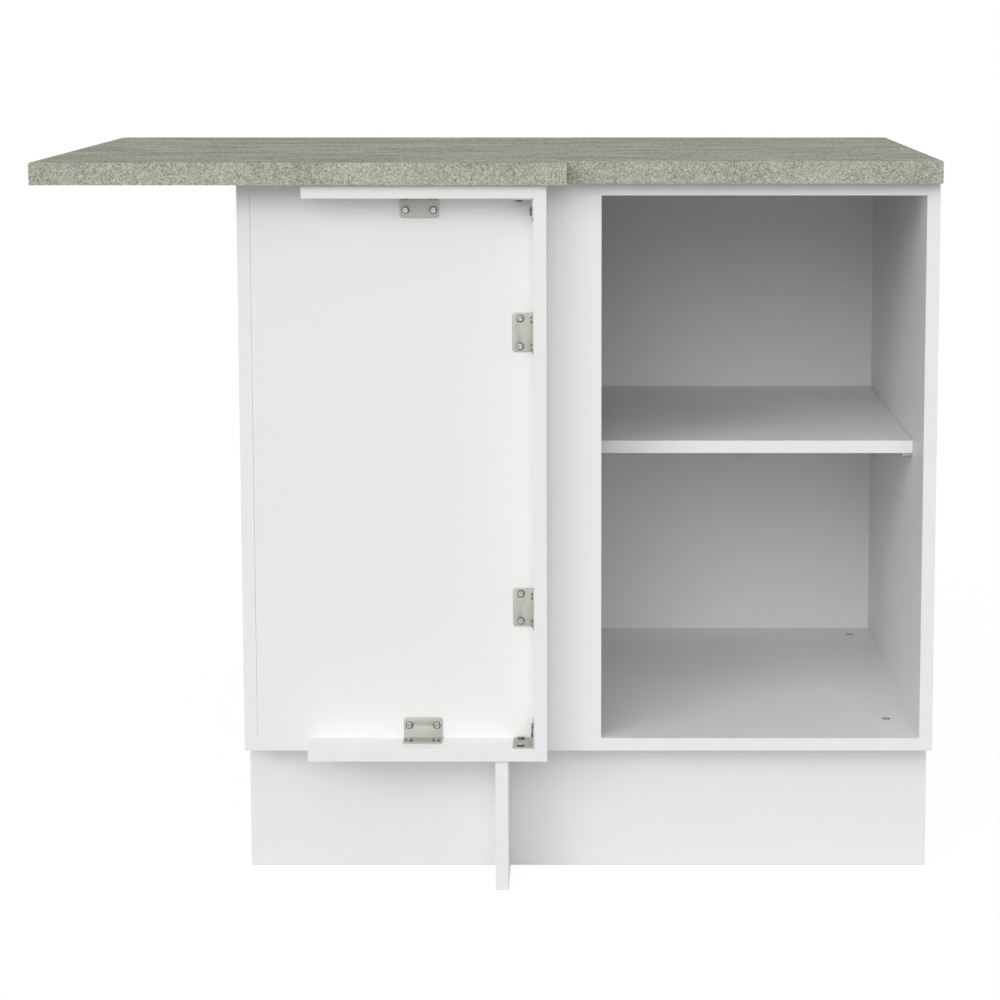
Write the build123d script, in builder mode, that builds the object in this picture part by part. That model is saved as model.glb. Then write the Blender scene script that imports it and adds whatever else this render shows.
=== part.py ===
from build123d import *
from math import radians, tan
import os

# Corner base cabinet: a carcass of coated boards on a plinth, a worktop in two pieces that runs past
# its left side, and a three-board spacer frame that stands proud of the fixed blind panel.
# Millimetres, +Z up, front towards -Y. The origin is on the floor, below the middle of the outline.

# Boards
board = 15.0
worktop_thickness = 25.0
back_sheet_thickness = 3.0
edge_ease = 0.3                 # bevel along the banded front edges
worktop_ease = 0.5              # bevel round the upper face of the worktop
panel_gap = 0.2                 # hairline between the blind panel and the left side

# Carcass
carcass_width = 800.0
carcass_depth = 574.0           # front edges to the back sheet
carcass_height = 662.0
blind_width = 400.0             # left side's inner face to the opening
rail_width = 80.0
back_sheet_inset = 1.0

# Plinth, and the foot below the spacer frame
plinth_height = 153.0
plinth_setback = 50.0
cross_board_inset = 36.0        # outer face of the carcass to the outer face of an end cross board
foot_to_stile = 30.0            # clear space between the foot and the stile above it
foot_recess = 4.0               # front edge of the frame to the front edge of the foot

# Worktop
worktop_reach = 224.0           # how far it runs past the left side
worktop_left_width = 600.0
worktop_overhang = 23.0         # right piece, past the front of the carcass
worktop_frame_overhang = 9.0    # left piece, past the front of the spacer frame

# Spacer frame on the blind panel
frame_depth = 47.0
frame_rail_length = 260.0
frame_offset = 78.0             # left side's outer face to the free ends of the rails
frame_top_gap = 0.5             # below the worktop

# Shelf and its pegs
shelf_depth = 475.0
shelf_height = 320.0            # bottom panel to the underside of the shelf
shelf_end_gap = 0.5
shelf_back_gap = 1.0
peg_radius = 3.75
peg_length = 12.0
peg_shank_radius = 2.5
peg_shank_length = 10.0
peg_ease = 0.8
peg_flat = 0.25                 # depth of the flat that the shelf lies on
peg_setback_front = 17.0
peg_setback_back = 40.0

# Angle brackets
bracket_leg = 25.0
bracket_thickness = 1.5
bracket_side_gap = 1.0          # bracket's side to the edge of the frame's boards
bracket_bend = 1.0              # inner radius of the bend
bracket_corner = 3.5            # radius of the free corners
bracket_hole_radius = 2.1
bracket_hole_side = 6.5         # sides of the bracket to the hole centres
bracket_hole_end = 9.0          # free edges of the legs to the hole centres
stile_bracket_spacing = 320.0

# Screws
bore_clearance = 0.05
point_length = 4.0
pan_head_radius = 4.1
pan_head_height = 2.4
pan_head_rim = 0.8
pan_head_bevel = 1.2            # width of the slope from the rim to the top
pan_shank_radius = 1.75
pan_tip_cover = 2.5             # board left beyond the tip of a bracket screw
top_screw_radius = 2.0
top_screw_cover = 10.0          # worktop left above the tip of a worktop screw
top_screw_edge = 60.0           # ends of the rails, and the joint, to the screws beside them
flat_screw_radius = 2.5
flat_head_radius = 5.0
flat_head_angle = 90.0
carcass_screw_length = 50.0
plinth_screw_setback = 24.0     # inner faces of the plinth to the screws in the cross boards
side_screw_setback = 100.0
side_screw_count = 3
foot_screw_length = 40.0
foot_screw_edge = 40.0

# Dowels
dowel_radius = 4.0
dowel_length = 30.0
dowel_ease = 0.8
bore_skin = 6.0                 # board left behind a dowel in its face
bore_run_out = 0.3              # bore past the end of a dowel or a nail
rail_dowel_edge = 20.0
panel_dowel_side = 60.0
panel_dowel_end = 120.0
plinth_dowel_edge = 45.0

# Cams and their bolts, which draw the rails against the sides
cam_radius = 7.5
cam_distance = 24.0             # end of the rail to the middle of the cam
cam_skin = 2.5                  # board left below the cam
cam_slot_width = 1.6
cam_slot_depth = 2.0
rail_cam_edge = 25.0            # inner edge of the rail to the cam
bolt_thread_radius = 2.5
bolt_stem_radius = 2.2
bolt_head_radius = 3.4
bolt_head_length = 4.0
bolt_skin = 4.0                 # board left behind the thread
bolt_bore_radius = 4.0

# Nails of the back sheet
nail_radius = 0.7
nail_length = 14.0
nail_head_radius = 1.6
nail_head_height = 0.6
nail_row_count = 6
nail_column_count = 5
nail_end = 40.0

# Places across, from the left end of the worktop
outer_width = worktop_reach + carcass_width
left_outer = worktop_reach - outer_width / 2
left_inner = left_outer + board
right_outer = left_outer + carcass_width
right_inner = right_outer - board
middle_x = (left_outer + right_outer) / 2
side_middles = (left_outer + board / 2, right_outer - board / 2)
panel_left = left_inner + panel_gap
panel_right = left_inner + blind_width
joint_x = left_outer - worktop_reach + worktop_left_width
frame_left = left_outer + frame_offset
stile_left = frame_left + frame_rail_length
rail_bracket_x = (frame_left + stile_left) / 2
foot_middle = stile_left - foot_to_stile - board / 2
cross_middles = (
    left_outer + cross_board_inset + board / 2,
    middle_x,
    right_outer - cross_board_inset - board / 2,
)

# Places from front to back
outer_depth = worktop_frame_overhang + frame_depth + carcass_depth + back_sheet_thickness
outer_back = outer_depth / 2
sheet_inner = outer_back - back_sheet_thickness
front = sheet_inner - carcass_depth
middle_y = (front + sheet_inner) / 2
panel_middle_y = front + board / 2
plinth_face = front + plinth_setback
plinth_inner = plinth_face + board
plinth_back_inner = sheet_inner - board
frame_front = front - frame_depth
frame_middle_y = front - frame_depth / 2
foot_front = frame_front + foot_recess
shelf_back = sheet_inner - shelf_back_gap
shelf_front = shelf_back - shelf_depth
peg_rows = (shelf_front + peg_setback_front, shelf_back - peg_setback_back)
rail_edges = ((front, 1), (sheet_inner, -1))    # outer edge of each rail, and the way to its inner edge
rail_dowel_rows = [edge + way * rail_dowel_edge for edge, way in rail_edges]
rail_screw_rows = [edge + way * rail_width / 2 for edge, way in rail_edges]
rail_cam_rows = [edge + way * (rail_width - rail_cam_edge) for edge, way in rail_edges]

# Places upwards, from the floor
bottom_under = plinth_height
bottom_middle = bottom_under + board / 2
bottom_top = bottom_under + board
carcass_top = bottom_under + carcass_height
rail_under = carcass_top - board
rail_middle = carcass_top - board / 2
frame_top = carcass_top - frame_top_gap
frame_top_under = frame_top - board
frame_middle_z = (bottom_under + frame_top) / 2
shelf_under = bottom_top + shelf_height
peg_middle = shelf_under - peg_radius + peg_flat

# Sizes of fasteners and their bores that follow from the boards
bracket_width = frame_depth - 2 * bracket_side_gap
bracket_hole_out = bracket_width / 2 - bracket_hole_side
bracket_hole_up = bracket_leg - bracket_hole_end
pan_screw_length = bracket_thickness + board - pan_tip_cover
pan_bore = board - pan_tip_cover
top_screw_length = board + worktop_thickness - top_screw_cover
flat_head_height = (flat_head_radius - flat_screw_radius) / tan(radians(flat_head_angle / 2))
flat_bore_radius = flat_screw_radius + bore_clearance
flat_sink_radius = flat_head_radius + bore_clearance
dowel_bore_radius = dowel_radius + bore_clearance
dowel_face_depth = board - bore_skin
dowel_edge_depth = dowel_length - dowel_face_depth
face_bore = dowel_face_depth + bore_run_out
edge_bore = dowel_edge_depth + bore_run_out
nail_bore_radius = nail_radius + bore_clearance
nail_bore = nail_length - back_sheet_thickness + bore_run_out
cam_height = board - cam_skin
bolt_depth = board - bolt_skin

LEFT = (-1, 0, 0)
RIGHT = (1, 0, 0)
FORWARD = (0, -1, 0)
BACKWARD = (0, 1, 0)
DOWN = (0, 0, -1)
UP = (0, 0, 1)


def mouth(x, y, z, outwards):
    """Plane of a bore's mouth: the bore runs inwards, and a screw's head lies outwards."""
    return Plane(origin=(x, y, z), z_dir=outwards)


def spread(first, last, count):
    """Evenly spaced places from first to last."""
    return [first + (last - first) * step / (count - 1) for step in range(count)]


def save(piece, name):
    """Name a finished piece and write it out."""
    piece.part.label = name
    export_step(piece.part, f"parts/{name}.step")
    print(f"{name}: {len(piece.part.solids())} solid(s)")


os.makedirs("parts", exist_ok=True)

# Rows and columns of fasteners
side_screw_rows = spread(front + side_screw_setback, sheet_inner - side_screw_setback, side_screw_count)
plinth_screw_rows = (plinth_inner + plinth_screw_setback, plinth_back_inner - plinth_screw_setback)
plinth_dowel_rows = (plinth_dowel_edge, plinth_height - plinth_dowel_edge)
foot_screw_rows = (foot_screw_edge, plinth_height - foot_screw_edge)
panel_dowel_columns = (left_inner + panel_dowel_side, panel_right - panel_dowel_side)
panel_dowel_rows = (bottom_top + panel_dowel_end, rail_under - panel_dowel_end)
top_screws_left = (left_inner + top_screw_edge, joint_x - top_screw_edge)
top_screws_right = (joint_x + top_screw_edge, right_inner - top_screw_edge)
nail_rows = spread(bottom_top + nail_end, rail_under - nail_end, nail_row_count)
nail_columns = spread(left_inner + nail_end, right_inner - nail_end, nail_column_count)
nail_places = [(x, z) for x in side_middles for z in nail_rows]
nail_places += [(x, z) for z in (bottom_middle, rail_middle) for x in nail_columns]

# Seat of each angle bracket: a plane at its corner, where the first leg lies on the board that faces
# z_dir and the second leg on the board that faces y_dir, and the names of those two boards
stile_bracket_heights = (
    frame_middle_z + stile_bracket_spacing / 2,
    frame_middle_z - stile_bracket_spacing / 2,
)
stile_seats = [Plane((stile_left, front, z), x_dir=UP, z_dir=FORWARD) for z in stile_bracket_heights]
top_rail_seat = Plane((rail_bracket_x, front, frame_top_under), x_dir=LEFT, z_dir=FORWARD)
bottom_rail_seat = Plane((rail_bracket_x, front, bottom_top), x_dir=RIGHT, z_dir=FORWARD)
upper_corner_seat = Plane((stile_left, frame_middle_y, frame_top_under), x_dir=FORWARD, z_dir=DOWN)
lower_corner_seat = Plane((stile_left, frame_middle_y, bottom_top), x_dir=BACKWARD, z_dir=UP)
bracket_seats = {
    "bracket_top_rail": (top_rail_seat, "blind_panel", "frame_top_rail"),
    "bracket_bottom_rail": (bottom_rail_seat, "blind_panel", "frame_bottom_rail"),
    "bracket_stile_upper": (stile_seats[0], "blind_panel", "frame_stile"),
    "bracket_stile_lower": (stile_seats[1], "blind_panel", "frame_stile"),
    "bracket_corner_upper": (upper_corner_seat, "frame_top_rail", "frame_stile"),
    "bracket_corner_lower": (lower_corner_seat, "frame_bottom_rail", "frame_stile"),
}


def bracket_screw_mouths(lift, boards):
    """Mouths of the screws that enter the named boards through the brackets, lifted off the boards."""
    mouths = []
    for seat, first_board, second_board in bracket_seats.values():
        for side in (-bracket_hole_out, bracket_hole_out):
            if first_board in boards:
                place = seat.from_local_coords((side, bracket_hole_up, lift))
                mouths.append(Plane(place, z_dir=seat.z_dir))
            if second_board in boards:
                place = seat.from_local_coords((side, lift, bracket_hole_up))
                mouths.append(Plane(place, z_dir=seat.y_dir))
    return mouths


def make_side(middle, inner_x, inwards):
    """Upright side board that stands on the bottom panel, with the bores that both sides share."""
    with BuildPart() as side:
        with BuildSketch(Plane.XY.offset(bottom_top)):
            with Locations((middle, middle_y)):
                Rectangle(board, carcass_depth)
        extrude(amount=carcass_top - bottom_top)
        chamfer(side.faces().sort_by(Axis.Y)[0].edges(), edge_ease)
        with Locations(*[mouth(inner_x, y, rail_middle, inwards) for y in rail_dowel_rows]):
            Hole(dowel_bore_radius, face_bore)
        with Locations(*[mouth(inner_x, y, rail_middle, inwards) for y in rail_cam_rows]):
            Hole(bolt_thread_radius + bore_clearance, bolt_depth)
        with Locations(*[mouth(inner_x, y, peg_middle, inwards) for y in peg_rows]):
            Hole(peg_shank_radius + bore_clearance, peg_shank_length)
        with Locations(*[mouth(middle, y, bottom_top, DOWN) for y in side_screw_rows]):
            Hole(flat_bore_radius, carcass_screw_length - board)
        with Locations(*[mouth(middle, sheet_inner, z, BACKWARD) for z in nail_rows]):
            Hole(nail_bore_radius, nail_bore)
    return side.part


def make_rail(edge, way, dowel_y, screw_y, cam_y):
    """Flat rail between the sides, below the worktop, with its dowel, cam and screw bores."""
    with BuildPart() as rail:
        with BuildSketch(Plane.XY.offset(rail_under)):
            with Locations((middle_x, edge + way * rail_width / 2)):
                Rectangle(right_inner - left_inner, rail_width)
        extrude(amount=board)
        for end_x, outwards, inward_way in ((left_inner, LEFT, 1), (right_inner, RIGHT, -1)):
            with Locations(mouth(end_x, dowel_y, rail_middle, outwards)):
                Hole(dowel_bore_radius, edge_bore)
            with Locations(mouth(end_x, cam_y, rail_middle, outwards)):
                Hole(bolt_bore_radius, cam_distance)
            with Locations(mouth(end_x + inward_way * cam_distance, cam_y, carcass_top, UP)):
                Hole(cam_radius + bore_clearance, cam_height)
        with Locations(*[mouth(x, screw_y, rail_under, DOWN) for x in top_screws_left + top_screws_right]):
            Hole(top_screw_radius + bore_clearance, board)
    return rail.part


# Sides: the left one also takes the dowels of the blind panel
left_blank = make_side(side_middles[0], left_inner, RIGHT)
with BuildPart() as left_side:
    add(left_blank)
    with Locations(*[mouth(left_inner, panel_middle_y, z, RIGHT) for z in panel_dowel_rows]):
        Hole(dowel_bore_radius, face_bore)
save(left_side, "left_side")

right_blank = make_side(side_middles[1], right_inner, LEFT)
with BuildPart() as right_side:
    add(right_blank)
save(right_side, "right_side")

# Bottom panel, as wide as the carcass: the sides stand on it
with BuildPart() as bottom_panel:
    with BuildSketch(Plane.XY.offset(bottom_under)):
        with Locations((middle_x, middle_y)):
            Rectangle(carcass_width, carcass_depth)
    extrude(amount=board)
    chamfer(bottom_panel.faces().sort_by(Axis.Y)[0].edges(), edge_ease)
    with Locations(*[mouth(x, panel_middle_y, bottom_top, UP) for x in panel_dowel_columns]):
        Hole(dowel_bore_radius, face_bore)
    with Locations(*[mouth(x, y, bottom_under, DOWN) for x in side_middles for y in side_screw_rows]):
        CounterSinkHole(flat_bore_radius, flat_sink_radius, board, flat_head_angle)
    with Locations(*[mouth(x, y, bottom_top, UP) for x in cross_middles for y in plinth_screw_rows]):
        CounterSinkHole(flat_bore_radius, flat_sink_radius, board, flat_head_angle)
    with Locations(*[mouth(x, sheet_inner, bottom_middle, BACKWARD) for x in nail_columns]):
        Hole(nail_bore_radius, nail_bore)
save(bottom_panel, "bottom_panel")

# Blind panel, between the bottom panel and the front rail
with BuildPart() as blind_panel:
    with BuildSketch(Plane.XY.offset(bottom_top)):
        with Locations(((panel_left + panel_right) / 2, panel_middle_y)):
            Rectangle(panel_right - panel_left, board)
    extrude(amount=rail_under - bottom_top)
    chamfer(blind_panel.faces().sort_by(Axis.Y)[0].edges(), edge_ease)
    with Locations(*[mouth(x, panel_middle_y, rail_under, UP) for x in panel_dowel_columns]):
        Hole(dowel_bore_radius, edge_bore)
    with Locations(*[mouth(x, panel_middle_y, bottom_top, DOWN) for x in panel_dowel_columns]):
        Hole(dowel_bore_radius, edge_bore)
    with Locations(*[mouth(panel_left, panel_middle_y, z, LEFT) for z in panel_dowel_rows]):
        Hole(dowel_bore_radius, edge_bore)
    with Locations(*bracket_screw_mouths(0, ["blind_panel"])):
        Hole(pan_shank_radius + bore_clearance, pan_bore)
save(blind_panel, "blind_panel")

# Rails: the front one rests on the blind panel, and the rear one takes nails of the back sheet
rail_blanks = [
    make_rail(edge, way, dowel_y, screw_y, cam_y)
    for (edge, way), dowel_y, screw_y, cam_y in zip(
        rail_edges, rail_dowel_rows, rail_screw_rows, rail_cam_rows
    )
]
with BuildPart() as front_top_rail:
    add(rail_blanks[0])
    chamfer(front_top_rail.faces().sort_by(Axis.Y)[0].edges(), edge_ease)
    with Locations(*[mouth(x, panel_middle_y, rail_under, DOWN) for x in panel_dowel_columns]):
        Hole(dowel_bore_radius, face_bore)
save(front_top_rail, "front_top_rail")

with BuildPart() as rear_top_rail:
    add(rail_blanks[1])
    with Locations(*[mouth(x, sheet_inner, rail_middle, BACKWARD) for x in nail_columns]):
        Hole(nail_bore_radius, nail_bore)
save(rear_top_rail, "rear_top_rail")

# Back sheet, nailed all round to the rear edges of the carcass
with BuildPart() as back_sheet:
    with BuildSketch(Plane.XY.offset(bottom_under + back_sheet_inset)):
        with Locations((middle_x, sheet_inner + back_sheet_thickness / 2)):
            Rectangle(carcass_width - 2 * back_sheet_inset, back_sheet_thickness)
    extrude(amount=carcass_height - 2 * back_sheet_inset)
    with Locations(*[mouth(x, outer_back, z, BACKWARD) for x, z in nail_places]):
        CounterBoreHole(
            nail_bore_radius,
            nail_head_radius + bore_clearance,
            nail_head_height,
            back_sheet_thickness,
        )
save(back_sheet, "back_sheet")

with BuildPart() as nail:
    with BuildSketch(Plane.XZ):
        with BuildLine():
            Polyline(
                (0, 0),
                (nail_head_radius, 0),
                (nail_head_radius, -nail_head_height),
                (nail_radius, -nail_head_height),
                (nail_radius, nail_radius - nail_length),
                (0, -nail_length),
                close=True,
            )
        make_face()
    revolve(axis=Axis.Z)

with BuildPart() as back_nails:
    with Locations(*[mouth(x, outer_back, z, BACKWARD) for x, z in nail_places]):
        add(nail.part)
save(back_nails, "back_nails")

# Shelf, loose on four pegs
with BuildPart() as shelf:
    with BuildSketch(Plane.XY.offset(shelf_under)):
        with Locations((middle_x, (shelf_front + shelf_back) / 2)):
            Rectangle(right_inner - left_inner - 2 * shelf_end_gap, shelf_depth)
    extrude(amount=board)
    chamfer(shelf.faces().sort_by(Axis.Y)[0].edges(), edge_ease)
save(shelf, "shelf")

# Peg: a shank in the side and a thicker round with a flat on top, drawn with the side's face on z = 0
with BuildPart() as peg:
    with BuildSketch(Plane.XZ):
        with BuildLine():
            Polyline(
                (0, -peg_shank_length),
                (peg_shank_radius, -peg_shank_length),
                (peg_shank_radius, 0),
                (peg_radius, 0),
                (peg_radius, peg_length - peg_ease),
                (peg_radius - peg_ease, peg_length),
                (0, peg_length),
                close=True,
            )
        make_face()
    revolve(axis=Axis.Z)
    with BuildSketch(Plane.XY):
        with Locations((peg_radius, 0)):
            Rectangle(2 * peg_flat, 2 * peg_radius)
    extrude(amount=peg_length, mode=Mode.SUBTRACT)

with BuildPart() as shelf_pegs:
    for inner_x, inwards in ((left_inner, RIGHT), (right_inner, LEFT)):
        with Locations(*[Plane((inner_x, y, peg_middle), x_dir=UP, z_dir=inwards) for y in peg_rows]):
            add(peg.part)
save(shelf_pegs, "shelf_pegs")

# Plinth: front and back boards, with three cross boards between them that carry the carcass
with BuildPart() as plinth_front:
    with BuildSketch(Plane.XY):
        with Locations((middle_x, plinth_face + board / 2)):
            Rectangle(carcass_width, board)
    extrude(amount=plinth_height)
    chamfer(plinth_front.faces().sort_by(Axis.Y)[0].edges(), edge_ease)
    with Locations(*[mouth(x, plinth_inner, z, BACKWARD) for x in cross_middles for z in plinth_dowel_rows]):
        Hole(dowel_bore_radius, face_bore)
    with Locations(*[mouth(foot_middle, plinth_inner, z, BACKWARD) for z in foot_screw_rows]):
        CounterSinkHole(flat_bore_radius, flat_sink_radius, board, flat_head_angle)
save(plinth_front, "plinth_front")

with BuildPart() as plinth_back:
    with BuildSketch(Plane.XY):
        with Locations((middle_x, sheet_inner - board / 2)):
            Rectangle(carcass_width, board)
    extrude(amount=plinth_height)
    back_mouths = [mouth(x, plinth_back_inner, z, FORWARD) for x in cross_middles for z in plinth_dowel_rows]
    with Locations(*back_mouths):
        Hole(dowel_bore_radius, face_bore)
save(plinth_back, "plinth_back")

for cross_name, cross_x in zip(("left", "middle", "right"), cross_middles):
    with BuildPart() as plinth_cross:
        with BuildSketch(Plane.XY):
            with Locations((cross_x, (plinth_inner + plinth_back_inner) / 2)):
                Rectangle(board, plinth_back_inner - plinth_inner)
        extrude(amount=plinth_height)
        with Locations(*[mouth(cross_x, plinth_inner, z, FORWARD) for z in plinth_dowel_rows]):
            Hole(dowel_bore_radius, edge_bore)
        with Locations(*[mouth(cross_x, plinth_back_inner, z, BACKWARD) for z in plinth_dowel_rows]):
            Hole(dowel_bore_radius, edge_bore)
        with Locations(*[mouth(cross_x, y, plinth_height, UP) for y in plinth_screw_rows]):
            Hole(flat_bore_radius, carcass_screw_length - board)
    save(plinth_cross, f"plinth_cross_{cross_name}")

# Foot on edge below the spacer frame, screwed on from behind the plinth
with BuildPart() as support_foot:
    with BuildSketch(Plane.XY):
        with Locations((foot_middle, (foot_front + plinth_face) / 2)):
            Rectangle(board, plinth_face - foot_front)
    extrude(amount=plinth_height)
    chamfer(support_foot.faces().sort_by(Axis.Y)[0].edges(), edge_ease)
    with Locations(*[mouth(foot_middle, plinth_face, z, BACKWARD) for z in foot_screw_rows]):
        Hole(flat_bore_radius, foot_screw_length - board)
    with Locations(mouth(foot_middle, frame_middle_y, plinth_height, UP)):
        Hole(dowel_bore_radius, edge_bore)
save(support_foot, "support_foot")

# Spacer frame: two flat rails that butt against a stile, open to the left
frame_boards = {
    "frame_top_rail": (frame_left, stile_left, frame_top_under, frame_top),
    "frame_bottom_rail": (frame_left, stile_left, bottom_under, bottom_top),
    "frame_stile": (stile_left, stile_left + board, bottom_under, frame_top),
}
for frame_name, (low_x, high_x, low_z, high_z) in frame_boards.items():
    with BuildPart() as frame_board:
        with BuildSketch(Plane.XY.offset(low_z)):
            with Locations(((low_x + high_x) / 2, frame_middle_y)):
                Rectangle(high_x - low_x, frame_depth)
        extrude(amount=high_z - low_z)
        chamfer(frame_board.faces().sort_by(Axis.Y)[0].edges(), edge_ease)
        with Locations(*bracket_screw_mouths(0, [frame_name])):
            Hole(pan_shank_radius + bore_clearance, pan_bore)
        if frame_name == "frame_bottom_rail":
            with Locations(mouth(foot_middle, frame_middle_y, bottom_under, DOWN)):
                Hole(dowel_bore_radius, face_bore)
    save(frame_board, frame_name)

# Angle bracket: a bent strip with rounded free corners and two holes in each leg. One leg lies on
# z = 0, the other on y = 0.
with BuildPart() as bracket:
    with BuildSketch(Plane.YZ.offset(-bracket_width / 2)):
        with BuildLine():
            outside = FilletPolyline(
                (bracket_leg, 0), (0, 0), (0, bracket_leg), radius=bracket_bend + bracket_thickness
            )
            offset(outside, amount=bracket_thickness, side=Side.RIGHT)
        make_face()
    extrude(amount=bracket_width)
    corners = bracket.faces().sort_by(Axis.Y)[-1].edges().filter_by(Axis.Z)
    corners += bracket.faces().sort_by(Axis.Z)[-1].edges().filter_by(Axis.Y)
    fillet(corners, bracket_corner)
    for side in (-bracket_hole_out, bracket_hole_out):
        with Locations(
            mouth(side, bracket_hole_up, bracket_thickness, UP),
            mouth(side, bracket_thickness, bracket_hole_up, BACKWARD),
        ):
            Hole(bracket_hole_radius, bracket_thickness)

for bracket_name, (seat, _, _) in bracket_seats.items():
    with BuildPart() as placed_bracket:
        with Locations(seat):
            add(bracket.part)
    save(placed_bracket, bracket_name)


def make_pan_screw(shank_radius, length):
    """Screw with a low bevelled head that stands on z = 0, its point down."""
    with BuildPart() as screw:
        with BuildSketch(Plane.XZ):
            with BuildLine():
                Polyline(
                    (0, pan_head_height),
                    (pan_head_radius - pan_head_bevel, pan_head_height),
                    (pan_head_radius, pan_head_rim),
                    (pan_head_radius, 0),
                    (shank_radius, 0),
                    (shank_radius, point_length - length),
                    (0, -length),
                    close=True,
                )
            make_face()
        revolve(axis=Axis.Z)
    return screw.part


def make_flat_screw(length):
    """Screw with a countersunk head, flush with z = 0, its point down."""
    with BuildPart() as screw:
        with BuildSketch(Plane.XZ):
            with BuildLine():
                Polyline(
                    (0, 0),
                    (flat_head_radius, 0),
                    (flat_screw_radius, -flat_head_height),
                    (flat_screw_radius, point_length - length),
                    (0, -length),
                    close=True,
                )
            make_face()
        revolve(axis=Axis.Z)
    return screw.part


bracket_screw = make_pan_screw(pan_shank_radius, pan_screw_length)
with BuildPart() as bracket_screws:
    with Locations(*bracket_screw_mouths(bracket_thickness, ["blind_panel", *frame_boards])):
        add(bracket_screw)
save(bracket_screws, "bracket_screws")

# Worktop in two pieces, flush at the back and stepped at the front
worktop_pieces = {
    "worktop_left": (left_outer - worktop_reach, joint_x, -outer_back, top_screws_left),
    "worktop_right": (joint_x, right_outer, front - worktop_overhang, top_screws_right),
}
for worktop_name, (low_x, high_x, low_y, columns) in worktop_pieces.items():
    with BuildPart() as worktop:
        with BuildSketch(Plane.XY.offset(carcass_top)):
            with Locations(((low_x + high_x) / 2, (low_y + outer_back) / 2)):
                Rectangle(high_x - low_x, outer_back - low_y)
        extrude(amount=worktop_thickness)
        chamfer(worktop.faces().sort_by(Axis.Z)[-1].edges(), worktop_ease)
        with Locations(*[mouth(x, y, carcass_top, DOWN) for x in columns for y in rail_screw_rows]):
            Hole(top_screw_radius + bore_clearance, top_screw_length - board)
    save(worktop, worktop_name)

top_screw = make_pan_screw(top_screw_radius, top_screw_length)
with BuildPart() as worktop_screws:
    top_columns = top_screws_left + top_screws_right
    with Locations(*[mouth(x, y, rail_under, DOWN) for x in top_columns for y in rail_screw_rows]):
        add(top_screw)
save(worktop_screws, "worktop_screws")

# Flat-headed screws: up into the sides, down into the plinth, and forwards into the foot
carcass_screw = make_flat_screw(carcass_screw_length)
with BuildPart() as side_screws:
    with Locations(*[mouth(x, y, bottom_under, DOWN) for x in side_middles for y in side_screw_rows]):
        add(carcass_screw)
save(side_screws, "side_screws")

with BuildPart() as plinth_screws:
    with Locations(*[mouth(x, y, bottom_top, UP) for x in cross_middles for y in plinth_screw_rows]):
        add(carcass_screw)
save(plinth_screws, "plinth_screws")

foot_screw = make_flat_screw(foot_screw_length)
with BuildPart() as foot_screws:
    with Locations(*[mouth(foot_middle, plinth_inner, z, BACKWARD) for z in foot_screw_rows]):
        add(foot_screw)
save(foot_screws, "foot_screws")

# Dowel: the joint between its two boards is on z = 0, with the longer end down
with BuildPart() as dowel:
    with BuildSketch(Plane.XY.offset(-dowel_edge_depth)):
        Circle(dowel_radius)
    extrude(amount=dowel_length)
    chamfer(dowel.edges().filter_by(GeomType.CIRCLE), dowel_ease)

dowel_groups = {
    "rail_dowels": [
        mouth(end_x, y, rail_middle, outwards)
        for end_x, outwards in ((left_inner, LEFT), (right_inner, RIGHT))
        for y in rail_dowel_rows
    ],
    "panel_dowels": [
        mouth(x, panel_middle_y, z, outwards)
        for x in panel_dowel_columns
        for z, outwards in ((rail_under, UP), (bottom_top, DOWN))
    ]
    + [mouth(left_inner, panel_middle_y, z, LEFT) for z in panel_dowel_rows],
    "plinth_dowels": [
        mouth(x, y, z, outwards)
        for x in cross_middles
        for y, outwards in ((plinth_inner, FORWARD), (plinth_back_inner, BACKWARD))
        for z in plinth_dowel_rows
    ],
    "foot_dowel": [mouth(foot_middle, frame_middle_y, plinth_height, UP)],
}
for group_name, seats in dowel_groups.items():
    with BuildPart() as dowels:
        with Locations(*seats):
            add(dowel.part)
    save(dowels, group_name)

# Cam bolt: its thread is in the side, below z = 0, and its head is in the cam
with BuildPart() as bolt:
    with BuildSketch(Plane.XZ):
        with BuildLine():
            Polyline(
                (0, -bolt_depth),
                (bolt_thread_radius, -bolt_depth),
                (bolt_thread_radius, 0),
                (bolt_stem_radius, 0),
                (bolt_stem_radius, cam_distance - bolt_head_length),
                (bolt_head_radius, cam_distance - bolt_head_length),
                (bolt_head_radius, cam_distance),
                (0, cam_distance),
                close=True,
            )
        make_face()
    revolve(axis=Axis.Z)

with BuildPart() as cam_bolts:
    for inner_x, inwards in ((left_inner, RIGHT), (right_inner, LEFT)):
        with Locations(*[mouth(inner_x, y, rail_middle, inwards) for y in rail_cam_rows]):
            add(bolt.part)
save(cam_bolts, "cam_bolts")

# Cam: a round block, flush with the top of the rail, bored from the side for the bolt and with a
# cross slot on top
with BuildPart() as cam:
    with BuildSketch(Plane.XY.offset(-cam_height)):
        Circle(cam_radius)
    extrude(amount=cam_height)
    with Locations(Plane((cam_radius, 0, -board / 2), z_dir=RIGHT)):
        Hole(bolt_head_radius + bore_clearance, cam_radius)
    slot_length = 2 * (cam_radius - cam_slot_width)
    with BuildSketch(Plane.XY):
        Rectangle(cam_slot_width, slot_length)
        Rectangle(slot_length, cam_slot_width)
    extrude(amount=-cam_slot_depth, mode=Mode.SUBTRACT)

with BuildPart() as cam_locks:
    for end_x, inward_way, outwards in ((left_inner, 1, LEFT), (right_inner, -1, RIGHT)):
        cam_x = end_x + inward_way * cam_distance
        with Locations(*[Plane((cam_x, y, carcass_top), x_dir=outwards, z_dir=UP) for y in rail_cam_rows]):
            add(cam.part)
save(cam_locks, "cam_locks")
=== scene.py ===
import bpy
import bmesh
from math import pi, radians
from mathutils import Matrix, Vector


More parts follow.
